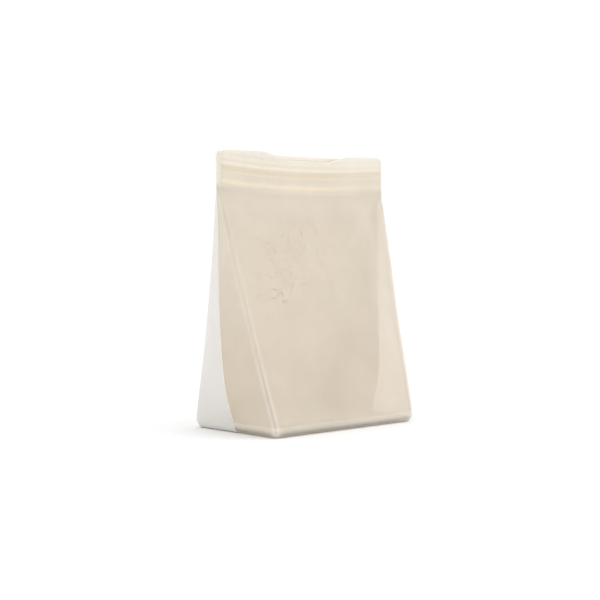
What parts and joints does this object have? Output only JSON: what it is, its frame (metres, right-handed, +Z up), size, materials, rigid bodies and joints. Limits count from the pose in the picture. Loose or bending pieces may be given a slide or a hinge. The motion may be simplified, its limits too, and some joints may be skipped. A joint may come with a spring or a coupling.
{
  "type": "reusable silicone food bag",
  "caption": "Stand-up silicone food bag with gusseted sides, a translucent front, an opaque back and a press-to-close zip under its finger lips.",
  "frame": {"origin": "middle of the base, on the surface that the bag stands on", "axes": "+Z up, +Y towards the opaque back, +X to the right seen from the translucent front"},
  "size_m": [0.1838, 0.0974, 0.22],
  "materials": {
    "front_film": "frosted translucent silicone, satin",
    "back_film": "opaque cream silicone, satin",
    "bonded_film": "fused silicone, satin",
    "zip_track": "translucent silicone, semi-gloss"
  },
  "bodies": {
    "sides_and_base": {"base_seam": "bonded_film", "side_seam_left": "bonded_film", "side_seam_right": "bonded_film", "end_weld_left": "bonded_film", "end_weld_right": "bonded_film", "base_front": "front_film", "rim_front": "front_film", "gusset_front_left": "front_film", "corner_fold_front_left": "front_film", "gusset_front_right": "front_film", "corner_fold_front_right": "front_film", "base_back": "back_film", "rim_back": "back_film", "gusset_back_left": "back_film", "corner_fold_back_left": "back_film", "gusset_back_right": "back_film", "corner_fold_back_right": "back_film"},
    "front_wall": {"front_panel": "front_film", "front_zip_strip": "front_film", "male_track_upper": "zip_track", "male_track_lower": "zip_track", "front_lip": "front_film"},
    "back_wall": {"back_panel": "back_film", "back_zip_strip": "back_film", "female_track_upper": "zip_track", "female_track_lower": "zip_track", "back_lip": "back_film"}
  },
  "joints": [
    {"name": "front_open", "type": "hinge", "parent": "sides_and_base", "child": "front_wall", "pos_m": [0, -0.0487, 0.008], "axis": [1, 0, 0], "range_deg": [0, 7], "stiffness_Nm_per_rad": 0.5},
    {"name": "back_open", "type": "hinge", "parent": "sides_and_base", "child": "back_wall", "pos_m": [0, 0.0487, 0.008], "axis": [-1, 0, 0], "range_deg": [0, 7], "stiffness_Nm_per_rad": 0.5}
  ]
}
